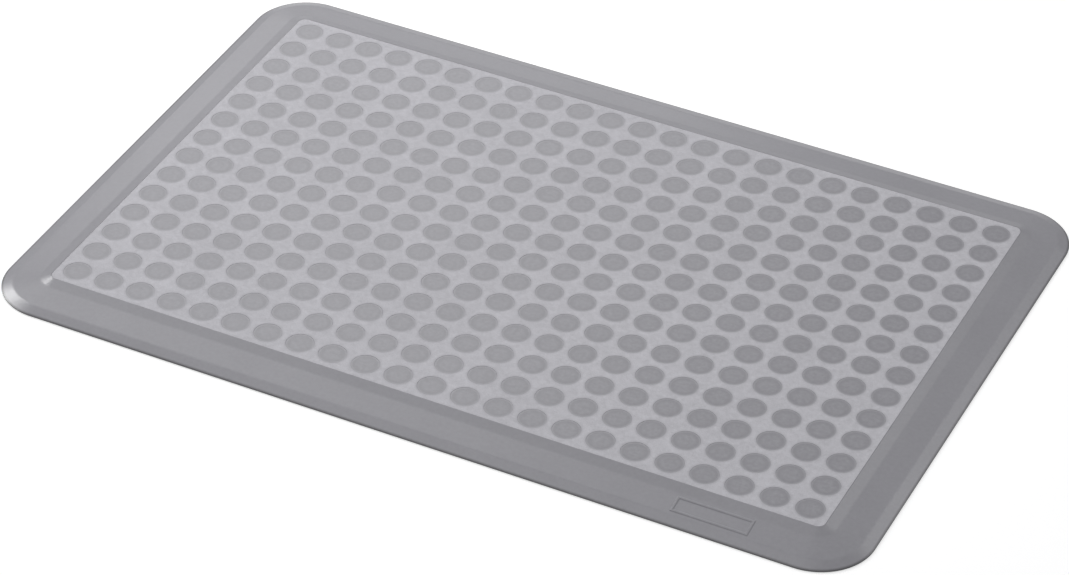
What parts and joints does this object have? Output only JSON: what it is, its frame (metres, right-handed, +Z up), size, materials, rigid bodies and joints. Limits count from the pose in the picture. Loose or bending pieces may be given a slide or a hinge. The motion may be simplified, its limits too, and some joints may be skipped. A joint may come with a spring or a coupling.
{
  "type": "anti-fatigue mat",
  "caption": "Rectangular standing mat with a textured tread, flush round studs in an even grid, and a moulded border that slopes down to a thin lip all round.",
  "frame": {"origin": "on the floor plane, under the middle of the mat's outline", "axes": "+X along the mat's length, +Y across it to the back, +Z up out of the tread; the bare name frame is on the front (-Y) rim near the +X end"},
  "size_m": [0.914, 0.61, 0.0127],
  "materials": {
    "border": "smooth satin moulded polyurethane, mid grey",
    "tread": "matte, finely grained polyurethane, light grey",
    "studs": "smooth satin polyurethane, mid grey",
    "gel": "soft cast polyurethane gel, dull blue",
    "foam": "closed-cell foam, charcoal",
    "base": "matte grained non-slip rubber, near black",
    "grip": "soft tacky rubber, dark grey"
  },
  "bodies": {
    "root": {"border_frame": "border", "tread_sheet": "tread", "stud_sheet": "studs", "gel_pad": "gel", "foam_core": "foam", "base_sheet": "base", "grip_pads": "grip"}
  },
  "joints": []
}
